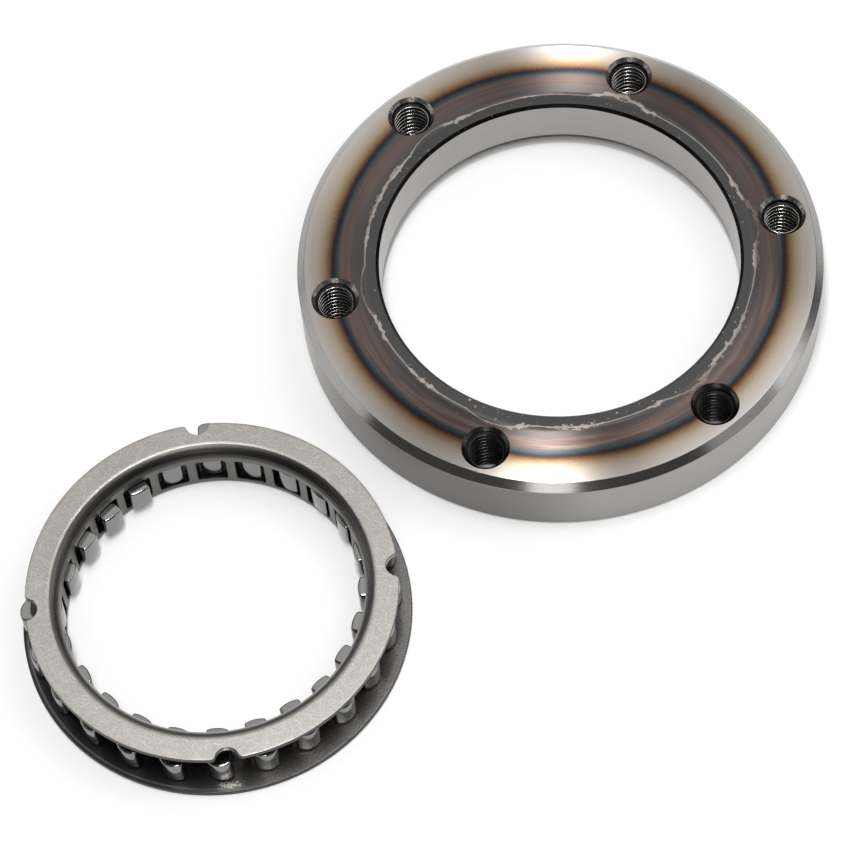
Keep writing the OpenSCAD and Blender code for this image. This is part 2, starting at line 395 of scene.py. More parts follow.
# %% Finish of the turned face
face_steel, tree, shader, place = finish("race_turned_face", RACE_CENTRE, Anisotropic_Rotation=0.25)
groove_line = add(tree, "ShaderNodeTangent", direction_type="RADIAL", axis="Z").outputs[0]
tree.links.new(groove_line, shader.inputs["Tangent"])
radius, heading = around(tree, place)
rings = use(tree, turned_rings, Place=place, Rings_per_mm=5.0, Run=2.0)
wander = swing(tree, clouds(tree, heading, 1.6), 1.6)
jitter = swing(tree, clouds(tree, place, 1.6, 4.0), 0.5)
band = calc(tree, "ADD", radius, calc(tree, "ADD", wander, jitter))
ramp_start, ramp_length = 36.0, 16.0
along_ramp = calc(tree, "DIVIDE", calc(tree, "SUBTRACT", band, ramp_start), ramp_length)
ramp = add(tree, "ShaderNodeValToRGB", {0: along_ramp})
temper = [
    (38.0, (0.090, 0.088, 0.088)),
    (39.0, (0.120, 0.112, 0.112)),
    (40.5, (0.140, 0.125, 0.120)),
    (42.6, (0.150, 0.112, 0.105)),
    (43.7, (0.075, 0.098, 0.103)),
    (44.5, (0.030, 0.038, 0.052)),
    (44.9, (0.075, 0.042, 0.035)),
    (45.4, (0.205, 0.110, 0.060)),
    (46.2, (0.370, 0.250, 0.148)),
    (47.2, (0.500, 0.405, 0.300)),
    (48.2, (0.580, 0.505, 0.428)),
    (50.3, (0.675, 0.637, 0.603)),
]
while len(ramp.color_ramp.elements) < len(temper):
    ramp.color_ramp.elements.new(0.5)
for stop, (mm, shade) in zip(ramp.color_ramp.elements, temper):
    stop.position = (mm - ramp_start) / ramp_length
    stop.color = rgb(*shade)
print("turned face:", len(temper), "temper bands")

# %% [markdown]
# Three more layers lie on the bands, and each is a mask that mixes one more colour in. The first is the coppery
# streaks, which follow the grooves between the scale and the blue ring. Towards the front they are painted paler, as
# a painted highlight. The lathe rings are used again for them, stretched to two widths.

# %% Streaks on the turned face
ahead = axes(tree, heading)
front = share(tree, ahead["Y"], 0.2, -0.8)
fine_streaks = share(tree, use(tree, turned_rings, Place=place, Rings_per_mm=2.4, Run=1.3), 0.46, 0.70)
broad_streaks = share(tree, use(tree, turned_rings, Place=place, Rings_per_mm=0.9, Run=2.2), 0.42, 0.62)
zone = overlap(tree, share(tree, radius, 39.4, 41.2), share(tree, radius, 43.9, 43.0))
# Painted highlight: the copper turns paler towards the front.
copper = tint(tree, front, rgb(0.185, 0.135, 0.122), rgb(0.260, 0.195, 0.170))
color = tint(tree, overlap(tree, broad_streaks, zone), ramp.outputs[0], copper)
color = tint(tree, overlap(tree, fine_streaks, zone), color, rgb(0.230, 0.140, 0.108))
print("turned face: streaks in two widths")

# %% [markdown]
# A thin pale line runs round the inner third, where a plate was clamped and rubbed. It bows outwards under each bolt
# hole, where the screws pressed hardest, and breaks up into ragged flakes. Pale specks show where the dull scale near
# the bore has chipped, mostly towards the front. The line is a distance from a wandering radius, because a drawn
# curve would need an unwrapped face.

# %% Rubbed line and specks on the turned face
bolts, bolt_turn = mounts["race_bolts"]["dims"], math.radians(5.4)
bearing = calc(tree, "SUBTRACT", calc(tree, "ARCTAN2", ahead["Y"], ahead["X"]), bolt_turn)
by_hole = calc(tree, "COSINE", calc(tree, "MULTIPLY", bearing, bolts["count"]))
by_hole = add(tree, "ShaderNodeMapRange", {"Value": by_hole, "From Min": 0.55, "From Max": 1.0}).outputs[0]
line_low, line_high = 38.5, 39.7
drift = swing(tree, clouds(tree, heading, 1.7, 3.0), 1.0)
line_r = calc(tree, "ADD", between(tree, by_hole, line_low, line_high), drift)
off_line = calc(tree, "ABSOLUTE", calc(tree, "SUBTRACT", radius, line_r))
grit = swing(tree, use(tree, turned_rings, Place=place, Rings_per_mm=1.5, Run=26.0), 1.0)
thin = share(tree, calc(tree, "MULTIPLY_ADD", grit, 0.6, off_line), 0.20, 0.06)
width = share(tree, clouds(tree, heading, 3.4, 1.0), 0.46, 0.62, 0.15, 1.3)
near = calc(tree, "SUBTRACT", 1.0, calc(tree, "DIVIDE", off_line, width), clamp=True)
flakes = share(tree, calc(tree, "MULTIPLY_ADD", grit, 2.6, near), 0.66, 0.76)
rubbed = calc(tree, "MAXIMUM", calc(tree, "MULTIPLY", thin, 0.55), flakes)
color = tint(tree, rubbed, color, rgb(0.460, 0.395, 0.350))

dots = use(tree, specks, Place=place, Apart_mm=0.9, Size=0.42)
chipped = overlap(tree, share(tree, radius, 37.9, 36.8), share(tree, front, 0.0, 1.0, 0.3, 1.0))
scattered = overlap(tree, share(tree, radius, 42.0, 39.0), calc(tree, "MULTIPLY", front, 0.45))
dots = overlap(tree, dots, calc(tree, "MAXIMUM", chipped, scattered))
color = tint(tree, dots, color, rgb(0.44, 0.42, 0.39))

dull = share(tree, band, 39.3, 38.2)
rough = between(tree, rings, 0.255, 0.375)
rough = calc(tree, "MULTIPLY_ADD", calc(tree, "MAXIMUM", dull, rubbed), 0.27, rough)
feed(tree, shader, color, rough)
tree.links.new(calc(tree, "SUBTRACT", 1.0, dull), shader.inputs["Anisotropic"])
relief(tree, shader, calc(tree, "MULTIPLY_ADD", rubbed, 2.0, rings), 0.006)
print("turned face: rubbed line at", line_low, "to", line_high, "mm, and specks")

# %% [markdown]
# The bevel round the rim is polished and mirrors the panels, so it is almost plain steel with faint rings. The
# outside wall and the bore are ground: duller, with fine lines that run round the ring. The small bevel at the mouth
# of the bore kept its black scale from hardening. One material could serve them all with masks, but each lies on
# faces of its own, so each has a material of its own.

# %% Finishes of the bevel, the walls and the bore
bevel_steel, tree, shader, place = finish("race_polished_bevel", RACE_CENTRE)
rings = use(tree, turned_rings, Place=place, Rings_per_mm=4.0, Run=6.0)
color = tint(tree, clouds(tree, place, 0.25), rgb(0.325, 0.317, 0.305), rgb(0.375, 0.366, 0.353))
feed(tree, shader, color, between(tree, rings, 0.10, 0.22))
relief(tree, shader, rings, 0.003)

wall_steel, tree, shader, place = finish("race_ground_wall", RACE_CENTRE)
rings = use(tree, turned_rings, Place=place, Rings_per_mm=6.0, Run=3.0)
marks = use(tree, crossed_scratches, Place=place, Width_mm=0.12, Share=0.3)
color = tint(tree, rings, rgb(0.275, 0.265, 0.253), rgb(0.355, 0.343, 0.329))
color = tint(tree, calc(tree, "MULTIPLY", marks, 0.3), color, rgb(0.50, 0.485, 0.47))
# Painted shade: the outer wall is darkened towards the front left.
painted_shade_side = toward(tree, around(tree, place)[1], -0.64, -0.77)
color = tint(tree, share(tree, painted_shade_side, 0.72, 0.99, 0.0, 0.75), color, rgb(0.10, 0.095, 0.088))
feed(tree, shader, color, between(tree, rings, 0.28, 0.40))
relief(tree, shader, rings, 0.005)

bore_steel, tree, shader, place = finish("race_ground_bore", RACE_CENTRE)
rings = use(tree, turned_rings, Place=place, Rings_per_mm=5.0, Run=2.0)
color = tint(tree, rings, rgb(0.290, 0.278, 0.267), rgb(0.375, 0.360, 0.347))
feed(tree, shader, color, between(tree, rings, 0.24, 0.36))
relief(tree, shader, rings, 0.004)

edge_scale, tree, shader, place = finish("race_black_scale", RACE_CENTRE)
bare = use(tree, specks, Place=place, Apart_mm=0.7, Size=0.34)
color = tint(tree, bare, rgb(0.012, 0.012, 0.012), rgb(0.16, 0.15, 0.14))
feed(tree, shader, color, between(tree, clouds(tree, place, 0.8), 0.28, 0.48))
print("race finishes:", [m.name for m in (bevel_steel, wall_steel, bore_steel, edge_scale)])

# %% [markdown]
# The holes were tapped after hardening. The countersunk mouths are torn, half bright and half black. The wall between
# the threads is black, and only the crests are bright. The mouths and crests of the holes are darker towards the
# front, which is a second colour that grows towards that side.

# %% Finishes of the bolt holes
mouth_steel, tree, shader, place = finish("race_torn_mouth", RACE_CENTRE)
torn = share(tree, clouds(tree, place, 1.8, 5.0), 0.44, 0.60)
color = tint(tree, torn, rgb(0.17, 0.163, 0.155), rgb(0.36, 0.345, 0.325))
depth_y = axes(tree, place)["Y"]
# The mouths are darker towards the front.
color = tint(tree, share(tree, depth_y, 0.0, -34.0, 0.0, 0.85), color, rgb(0.03, 0.03, 0.03))
feed(tree, shader, color, between(tree, clouds(tree, place, 2.0), 0.20, 0.40))
relief(tree, shader, clouds(tree, place, 2.2, 3.0), 0.012)

hole_black, tree, shader, place = finish("race_black_hole", RACE_CENTRE, Specular_IOR_Level=0.2)
color = tint(tree, clouds(tree, place, 1.2, 3.0), rgb(0.010, 0.010, 0.010), rgb(0.030, 0.029, 0.028))
feed(tree, shader, color, between(tree, clouds(tree, place, 2.0), 0.35, 0.55))

thread_steel, tree, shader, place = finish("race_cut_thread", RACE_CENTRE)
color = tint(tree, clouds(tree, place, 0.9), rgb(0.45, 0.44, 0.42), rgb(0.68, 0.67, 0.65))
depth_y = axes(tree, place)["Y"]
# The crests are darker towards the front.
color = tint(tree, share(tree, depth_y, 12.0, -32.0, 0.0, 0.93), color, rgb(0.02, 0.02, 0.02))
feed(tree, shader, color, between(tree, clouds(tree, place, 2.0), 0.14, 0.28))
print("hole finishes:", [m.name for m in (mouth_steel, hole_black, thread_steel)])

# %% [markdown]
# The cage is pressed from steel sheet and tumbled. Its flat top has been rubbed pale, full of tiny crossed scratches,
# while the wall, the bends and the lower flange keep the dark grey of the rolled sheet. It could have a material for
# each face, but the change from dark to pale lies on the bend, where no edge of the mesh could carry it, so one
# material follows the height on the part.

# %% Finish of the cage, pale and dark sheet
cage_steel, tree, shader, place = finish("cage_tumbled_sheet", cage_at)
radius, heading = around(tree, place)
height_mm = axes(tree, place)["Z"]
behind = axes(tree, heading)["Y"]
marks = use(tree, crossed_scratches, Place=place, Width_mm=0.07, Share=0.50)
grain = clouds(tree, place, 5.0, 2.0)
blotch = clouds(tree, place, 0.16, 3.0)
pale = tint(tree, blotch, rgb(0.47, 0.452, 0.42), rgb(0.55, 0.532, 0.50))
pale = tint(tree, share(tree, grain, 0.58, 0.38), pale, rgb(0.34, 0.323, 0.297))
pale = tint(tree, calc(tree, "MULTIPLY", marks, 0.45), pale, rgb(0.76, 0.74, 0.71))
dark = tint(tree, blotch, rgb(0.105, 0.102, 0.094), rgb(0.145, 0.140, 0.130))
dark = tint(tree, calc(tree, "MULTIPLY", marks, 0.3), dark, rgb(0.30, 0.29, 0.27))
print("cage finish:", cage_steel.name, "from the floor to", round(cage_h, 2), "mm")

# %% [markdown]
# The lower flange is almost black. It is lighter and pitted grey on one side, from wear and as a painted reflection,
# has a thin painted highlight just inside its rim with a darker edge beyond it, and carries one small bright patch in
# front, where something has rubbed it bare. The patch is a distance from a point, squeezed along the rim and broken
# up by noise, so its edge is ragged like the real one.

# %% Finish of the cage, lower flange
gauge, wall_r = 1.2, 29.0
channel_r = wall_r + gauge
black = tint(tree, blotch, rgb(0.030, 0.032, 0.035), rgb(0.058, 0.060, 0.063))
worn_and_lit_side = toward(tree, heading, 0.87, -0.5)
# Lighter on one side: partly wear, partly a painted reflection.
black = tint(tree, share(tree, worn_and_lit_side, 0.15, 0.95), black, rgb(0.265, 0.252, 0.240))
pitted = share(tree, clouds(tree, place, 3.4, 4.0), 0.62, 0.36, 0.0, 0.55)
pitted = overlap(tree, pitted, share(tree, worn_and_lit_side, -0.1, 0.7))
black = tint(tree, pitted, black, rgb(0.035, 0.035, 0.035))
off_rim = calc(tree, "ABSOLUTE", calc(tree, "SUBTRACT", radius, rim_r - 0.75))
# Painted highlight: a thin pale line just inside the rim, then a darker edge outside it.
black = tint(tree, share(tree, off_rim, 0.30, 0.10, 0.0, 0.7), black, rgb(0.17, 0.168, 0.163))
black = tint(tree, share(tree, radius, rim_r - 0.22, rim_r - 0.08), black, rgb(0.040, 0.040, 0.040))

patch_at, patch_squeeze = (-0.2, -36.0, gauge), (0.3, 1.1, 1.0)
patch = calc3(tree, "MULTIPLY", calc3(tree, "SUBTRACT", place, patch_at), patch_squeeze)
patch = calc3(tree, "LENGTH", patch)
patch = calc(tree, "ADD", swing(tree, clouds(tree, place, 3.0, 4.0), 3.2), patch)
black = tint(tree, share(tree, patch, 0.62, 0.42, 0.0, 0.8), black, rgb(0.50, 0.47, 0.43))
low_down = overlap(tree, share(tree, height_mm, gauge + 1.0, gauge + 0.1),
                   share(tree, radius, channel_r - 0.2, channel_r + 0.4))
dark = tint(tree, low_down, dark, black)
print("lower flange: from radius", channel_r, "to", round(rim_r, 2))

# %% [markdown]
# The last marks lie on the bends and the cut edges. The cut faces of the windows are black, as painted shade in the
# gaps round the sprags. The bend inside the upper flange has painted shade at the back and is lighter at the front.
# The sheared rim of that flange is dark, the punched notches in it are fresh grey, and a little yellow-brown oxide
# lies in a ragged band round the back. Each is again a mask, made where a stretch of the radius and a stretch of the
# height overlap.

# %% Finish of the cage, bends and cut edges
lip, sill, window_h, flange_r = 2.4, 1.5, 6.9, bore_r - 0.2
window_top = sill + window_h
painted_shade_cut_faces = overlap(tree, share(tree, radius, wall_r + 0.08, wall_r + 0.25),
                    share(tree, radius, channel_r + 0.7, channel_r + 0.3),
                    share(tree, height_mm, window_top + 0.8, window_top + 0.5))
# Painted shade: the cut faces of the windows are painted near black.
dark = tint(tree, painted_shade_cut_faces, dark, rgb(0.028, 0.028, 0.028))

throat = overlap(tree, share(tree, height_mm, cage_h - lip - 0.4, cage_h - lip + 0.5),
                 share(tree, radius, wall_r + lip + 0.2, wall_r + lip - 0.4))
throat_front = overlap(tree, throat, share(tree, behind, -0.1, -0.7))
throat_back_painted_shade = overlap(tree, throat, share(tree, behind, 0.0, 0.6))
dark = tint(tree, throat_front, dark, rgb(0.320, 0.310, 0.290))
# Painted shade on the bend at the back; the bend at the front is made lighter.
dark = tint(tree, throat_back_painted_shade, dark, rgb(0.060, 0.058, 0.055))
color = tint(tree, share(tree, height_mm, cage_h - 0.10, cage_h - 0.008), dark, pale)

cut_edge = overlap(tree, share(tree, height_mm, cage_h - 0.12, cage_h - 0.2),
                   share(tree, height_mm, cage_h - gauge - 0.4, cage_h - gauge))
punched = overlap(tree, cut_edge, share(tree, radius, flange_r - 2.8, flange_r - 2.4))
sheared = overlap(tree, cut_edge, share(tree, radius, flange_r - 0.4, flange_r - 0.15))
color = tint(tree, punched, color, rgb(0.270, 0.262, 0.248))
color = tint(tree, sheared, color, rgb(0.070, 0.065, 0.058))
ragged = calc(tree, "ADD", radius, calc(tree, "MULTIPLY", clouds(tree, place, 0.5, 4.0), 1.6))
oxide = overlap(tree, share(tree, ragged, flange_r, flange_r + 1.0),
                share(tree, height_mm, cage_h - 2.0, cage_h - 1.0), share(tree, behind, -0.1, 0.6))
color = tint(tree, calc(tree, "MULTIPLY", oxide, 0.7), color, rgb(0.34, 0.28, 0.17))
feed(tree, shader, color, between(tree, grain, 0.27, 0.43))
relief(tree, shader, calc(tree, "MULTIPLY_ADD", marks, -0.5, grain), 0.006)
print("upper flange: to radius", flange_r, "with a bend of", lip, "mm")

# %% [markdown]
# The sprags are hardened and then tumbled to a soft shine, with fine scratches from the stones. Their flat ends are
# ground, and the upward ends are painted paler than the cams as painted light from above, so the material follows
# which way a face looks. The ribbon spring between them is tempered and dark.

# %% Finishes of the sprags and the spring
sprag_steel, tree, shader, place = finish("sprag_polished_steel", cage_at)
marks = use(tree, crossed_scratches, Place=place, Width_mm=0.10, Share=0.30)
color = tint(tree, clouds(tree, place, 0.5, 2.0), rgb(0.205, 0.207, 0.207), rgb(0.250, 0.252, 0.250))
facing_up_painted_light = axes(tree, add(tree, "ShaderNodeTexCoord").outputs["Normal"])["Z"]
# Painted light: the upward flat ends are made paler.
color = tint(tree, share(tree, facing_up_painted_light, 0.90, 0.995), color, rgb(0.36, 0.358, 0.35))
color = tint(tree, calc(tree, "MULTIPLY", marks, 0.15), color, rgb(0.50, 0.50, 0.49))
feed(tree, shader, color, between(tree, clouds(tree, place, 0.8), 0.09, 0.15))

spring_steel, tree, shader, place = finish("ribbon_tempered_steel", cage_at)
marks = use(tree, crossed_scratches, Place=place, Width_mm=0.08, Share=0.4)
color = tint(tree, clouds(tree, place, 0.7, 3.0), rgb(0.050, 0.050, 0.050), rgb(0.095, 0.093, 0.090))
color = tint(tree, calc(tree, "MULTIPLY", marks, 0.3), color, rgb(0.20, 0.195, 0.19))
feed(tree, shader, color, between(tree, clouds(tree, place, 1.2), 0.30, 0.46))
print("finishes:", [m.name for m in (sprag_steel, spring_steel)])

# %% [markdown]
# Both halves are turned shapes, so each starts as a section: a closed outline of corners, each with the radius that
# breaks its edge. A real edge is never perfectly sharp, and that small radius is what catches the light. One more
# point is held close beside each radius, so the smooth shading of the edge doesn't spread over the flat.
# The section is then carried round the axis as a closed ring of quads.

# %% Helpers for sections and turned shapes
def rounded(corners, steps=4, hold=0.05):
    points = []
    for i, (x, y, radius) in enumerate(corners):
        here = Vector((x, y))
        before = Vector(corners[i - 1][:2]) - here
        after = Vector(corners[(i + 1) % len(corners)][:2]) - here
        half = before.angle(after) / 2
        if radius == 0 or half > math.radians(89.9):
            points.append(here)
            continue
        bisector = (before.normalized() + after.normalized()).normalized()
        centre = here + bisector * (radius / math.sin(half))
        first = here + before.normalized() * (radius / math.tan(half)) - centre
        sweep = first.angle_signed(here + after.normalized() * (radius / math.tan(half)) - centre)
        points.append(centre + first + before.normalized() * hold)
        for k in range(steps + 1):
            angle = -sweep * k / steps
            spoke = Vector((first.x * math.cos(angle) - first.y * math.sin(angle),
                            first.x * math.sin(angle) + first.y * math.cos(angle)))
            points.append(centre + spoke)
        points.append(points[-1] + after.normalized() * hold)
    return points


def arc(centre_x, centre_y, radius, start, end, steps):
    angles = [start + (end - start) * k / steps for k in range(steps + 1)]
    return [Vector((centre_x + radius * math.cos(a), centre_y + radius * math.sin(a))) for a in angles]


def solid(name, rings, closed_ring, capped):
    shape = bmesh.new()
    loops = [[shape.verts.new(Vector(point) * MM) for point in ring] for ring in rings]
    pairs = list(zip(loops, loops[1:])) + ([(loops[-1], loops[0])] if closed_ring else [])
    for one, two in pairs:
        for i in range(len(one)):
            j = (i + 1) % len(one)
            shape.faces.new((one[i], one[j], two[j], two[i]))
    if capped:
        shape.faces.new(loops[0])
        shape.faces.new(loops[-1])
    bmesh.ops.recalc_face_normals(shape, faces=shape.faces)
    mesh = bpy.data.meshes.new(name)
    shape.to_mesh(mesh)
    shape.free()
    made = bpy.data.objects.new(name, mesh)
    scene.collection.objects.link(made)
    return made


def turned_solid(name, section, centre, segments):
    rings = []
    for k in range(segments):
        angle = 2 * math.pi * k / segments
        rings.append([centre + Vector((p.x * math.cos(angle), p.x * math.sin(angle), p.y)) for p in section])
    return solid(name, rings, closed_ring=True, capped=False)


print("a rounded corner of a section has", len(rounded([(0, 0, 1), (4, 0, 0), (0, 4, 0)])) - 2, "points")

# %% [markdown]
# Holes, windows, threads and sprags all stand in rings. One Geometry Nodes tree serves them all: it takes one shape
# that stands on the +X side of an axis, can shift it along the radius, turns copies of it round the axis and moves
# the ring to its centre. The copies could be made in a loop of Python, but a tree keeps the count and the angle as
# named inputs. It ends in Realize Instances and Set Material, so the result can become a plain mesh.

# %% Geometry Nodes tree for a ring of copies
GEOMETRY, WHOLE, MATERIAL = "NodeSocketGeometry", "NodeSocketInt", "NodeSocketMaterial"
ring_tree, given, result = node_group(
    "ring_of_copies", "GeometryNodeTree",
    [("Shape", GEOMETRY), ("Count", WHOLE), ("First angle", FLOAT), ("Shift", FLOAT), ("Centre", VECTOR),
     ("Finish", MATERIAL)], [("Ring", GEOMETRY)])
shift = add(ring_tree, "ShaderNodeCombineXYZ", {"X": given["Shift"]}).outputs[0]
shape = add(ring_tree, "GeometryNodeTransform", {"Geometry": given["Shape"], "Translation": shift}).outputs[0]
step = calc(ring_tree, "DIVIDE", 2 * math.pi, given["Count"])
number = add(ring_tree, "GeometryNodeInputIndex").outputs[0]
angle = calc(ring_tree, "MULTIPLY_ADD", number, step, given["First angle"])
turn = add(ring_tree, "ShaderNodeCombineXYZ", {"Z": angle}).outputs[0]
spots = add(ring_tree, "GeometryNodePoints", {"Count": given["Count"], "Position": given["Centre"]}).outputs[0]
copies = add(ring_tree, "GeometryNodeInstanceOnPoints", {"Points": spots, "Instance": shape, "Rotation": turn})
plain = add(ring_tree, "GeometryNodeRealizeInstances", {"Geometry": copies.outputs[0]}).outputs[0]
dressed = add(ring_tree, "GeometryNodeSetMaterial", {"Geometry": plain, "Material": given["Finish"]}).outputs[0]
ring_tree.links.new(dressed, result["Ring"])
print("tree:", ring_tree.name, len(ring_tree.nodes), "nodes")

# %% [markdown]
# A tree works as a modifier, and so does a boolean cut. Both could stay live, but a part is handed on as plain
# meshes, so each result is baked as soon as it is made. The cut uses the Manifold solver, because every solid here
# is closed. The shading is smooth, and an edge stays sharp where its two faces meet at more than a set angle.

# %% Helpers that bake trees and cuts
def baked(source, name):
    depsgraph = bpy.context.evaluated_depsgraph_get()
    mesh = bpy.data.meshes.new_from_object(source.evaluated_get(depsgraph))
    mesh.name = name
    bpy.data.objects.remove(source)
    made = bpy.data.objects.new(name, mesh)
    scene.collection.objects.link(made)
    return made


def grow(source, tree, name, **inputs):
    modifier = source.modifiers.new("nodes", "NODES")
    modifier.node_group = tree
    sockets = {item.name: item.identifier for item in tree.interface.items_tree if item.in_out == "INPUT"}
    for label, value in inputs.items():
        modifier[sockets[label.replace("_", " ")]] = value
    return baked(source, name)


def cut_away(body, cutter):
    name = body.name
    knife = body.modifiers.new("cut", "BOOLEAN")
    knife.operation = "DIFFERENCE"
    knife.solver = "MANIFOLD"
    knife.object = cutter
    body.name = name + "_uncut"
    made = baked(body, name)
    bpy.data.objects.remove(cutter)
    return made


def smooth(piece, degrees=32):
    piece.data.shade_smooth()
    piece.data.set_sharp_from_angle(angle=math.radians(degrees))


# %% [markdown]
# The race is a thick ring with a bevel round its upper rim, small bevels at the bore, and a recess underneath for the
# flange of the cage. It could be cut from cylinders, but a lathe makes such a ring from one section, and so does the
# helper above.

# %% Outer race
bevel, edge, soft, seat_round = 1.5, 0.6, 0.15, 0.3
seat_r, seat_depth = rim_r + 0.2, 3.0
segments = 288
race_section = rounded([
    (seat_r, 0, soft), (race_r - edge, 0, soft), (race_r, edge, soft), (race_r, race_h - bevel, soft),
    (race_r - bevel, race_h, soft), (bore_r + edge, race_h, soft), (bore_r, race_h - edge, soft),
    (bore_r, seat_depth + edge, soft), (bore_r + edge, seat_depth, soft), (seat_r, seat_depth, seat_round),
])
race = turned_solid("race_body", race_section, RACE_CENTRE, segments)
print("race section:", len(race_section), "points, carried round in", segments, "steps")

# %% [markdown]
# Six holes go right through the race, each with a countersunk mouth at both ends. They break into flat faces that the
# turned mesh has no edges for, so they aren't modelled into it: a boolean cuts them with a ring of drills. A drill is
# a stack of circles that is wide at both ends, and it runs out past the faces.

# %% Bolt holes
bolt_circle, bolt_r = bolts["pcd_mm"] / 2, bolts["hole_r_mm"]
mouth, foot, overrun, hole_sides = 0.7, 0.5, 0.5, 64
hole_section = [(-2 * overrun, bolt_r + foot + 2 * overrun), (foot, bolt_r), (race_h - mouth, bolt_r),
                (race_h + overrun, bolt_r + mouth + overrun)]
sides = [2 * math.pi * k / hole_sides for k in range(hole_sides)]
hole_rings = [[(bolt_circle + r * math.cos(a), r * math.sin(a), z) for a in sides] for z, r in hole_section]
drill = solid("drill", hole_rings, closed_ring=False, capped=True)
drills = grow(drill, ring_tree, "drills", Count=bolts["count"], First_angle=bolt_turn, Finish=thread_steel)
race = cut_away(race, drills)
print("race with holes:", len(race.data.polygons), "faces")

# %% [markdown]
# Each face of the race then gets the finish of its place. They could be picked by hand in Edit Mode, but a rule is
# surer: the distance from the axis, from the nearest hole and from the top says what a face belongs to, and its
# normal says which way it looks.

# %% Finish of each face of the race
race_finishes = [face_steel, bevel_steel, wall_steel, bore_steel, edge_scale, mouth_steel, hole_black]
hair, slack, tear = 0.02, 0.1, 0.3
wall_face, level_face, mouth_slope = 0.1, 0.95, 0.97
hole_turns = [bolt_turn + 2 * math.pi * k / bolts["count"] for k in range(bolts["count"])]
hole_spots = [(bolt_circle * math.cos(a), bolt_circle * math.sin(a)) for a in hole_turns]


def race_finish(face):
    middle, up = face.center / MM, face.normal.z
    r = math.hypot(middle.x, middle.y)
    from_hole = min(math.hypot(middle.x - x, middle.y - y) for x, y in hole_spots)
    if from_hole < bolt_r + hair and abs(up) < wall_face:
        return hole_black
    if from_hole < bolt_r + mouth + tear and abs(up) < mouth_slope:
        return mouth_steel
    if middle.z > race_h - hair and up > level_face:
        return face_steel
    if r < bore_r + edge + slack and middle.z > race_h - edge - slack:
        return edge_scale
    if r > race_r - bevel - slack and middle.z > race_h - bevel - slack:
        return bevel_steel
    return bore_steel if r < seat_r + slack else wall_steel


race.data.materials.clear()
for made in race_finishes:
    race.data.materials.append(made)
for face in race.data.polygons:
    face.material_index = race_finishes.index(race_finish(face))
smooth(race, 20)
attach(race, "race")
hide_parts("outer_race")
print("race:", len(race_finishes), "finishes on", len(race.data.polygons), "faces")

# %% [markdown]
# The holes are tapped for M8 screws, and the shiny crests of the thread show all the way down. They could be stacked
# rings, but a screw thread is one ridge on a helix, so a tree sweeps a profile along a spiral. The ridge runs out to
# nothing at both ends, as a tap leaves it. The ring tree above then copies it round the race.

# %% Geometry Nodes tree for a thread
thread_tree, given, result = node_group(
    "helix_thread", "GeometryNodeTree",
    [("Blank", GEOMETRY), ("Turns", FLOAT), ("Radius", FLOAT), ("Length", FLOAT), ("Sides", WHOLE), ("Ridge", FLOAT),
     ("Place", VECTOR), ("Count", WHOLE), ("First angle", FLOAT), ("Finish", MATERIAL)], [("Thread", GEOMETRY)])
helix = add(thread_tree, "GeometryNodeCurveSpiral", {"Resolution": 28, "Rotations": given["Turns"],
            "Start Radius": given["Radius"], "End Radius": given["Radius"], "Height": given["Length"]}).outputs[0]
upright = add(thread_tree, "GeometryNodeSetCurveNormal", {"Curve": helix}, mode="Z_UP").outputs[0]
run = add(thread_tree, "GeometryNodeSplineParameter").outputs["Factor"]
run_out, thinnest = 0.05, 0.02
swell = overlap(thread_tree, share(thread_tree, run, 0.0, run_out), share(thread_tree, run, 1.0, 1.0 - run_out))
swell = calc(thread_tree, "MAXIMUM", swell, thinnest)
profile = add(thread_tree, "GeometryNodeCurvePrimitiveCircle",
              {"Resolution": given["Sides"], "Radius": given["Ridge"]}).outputs[0]
swept = add(thread_tree, "GeometryNodeCurveToMesh", {"Curve": upright, "Profile Curve": profile,
            "Scale": swell, "Fill Caps": True}).outputs[0]
placed = add(thread_tree, "GeometryNodeTransform", {"Geometry": swept, "Translation": given["Place"]}).outputs[0]
ring = add(thread_tree, "GeometryNodeGroup", {"Shape": placed, "Count": given["Count"],
           "First angle": given["First angle"], "Finish": given["Finish"]}, node_tree=ring_tree).outputs[0]
thread_tree.links.new(ring, result["Thread"])
print("tree:", thread_tree.name, len(thread_tree.nodes), "nodes")

# %% [markdown]
# The thread tree is used twice. A profile of three sides makes the black ridge, with its base sunk into the wall of
# the hole, and one of eight sides makes the rounded crest that the tap has polished. They are two pieces, because
# only the crest is bright.

# %% Threads in the holes
pitch, crest_r, plain_end = 1.25, 3.4, 0.9
thread_low, thread_high = plain_end, race_h - plain_end
ridge_size, crest_size, crest_sunk = 0.58, 0.13, 0.04


def thread(name, radius, sides, ridge, made_of):
    blank = bpy.data.objects.new("thread_blank", bpy.data.meshes.new("thread_blank"))
    scene.collection.objects.link(blank)
    piece = grow(blank, thread_tree, name, Turns=(thread_high - thread_low) / pitch, Radius=radius * MM,
                 Length=(thread_high - thread_low) * MM, Sides=sides, Ridge=ridge * MM,
                 Place=Vector((bolt_circle, 0, thread_low)) * MM, Count=bolts["count"], First_angle=bolt_turn,
                 Finish=made_of)
    smooth(piece, 50)
    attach(piece, "race")
    print(name, len(piece.data.polygons), "faces")


thread("race_threads", crest_r + ridge_size, 3, ridge_size, hole_black)
thread("race_thread_crests", crest_r + crest_sunk, 8, crest_size, thread_steel)

# %% [markdown]
# The cage is a spool: a wall with a flange bent out at each end. It could be lofted from sheets, but pressed sheet
# steel is a turned shape too, so it is one section with bent corners.

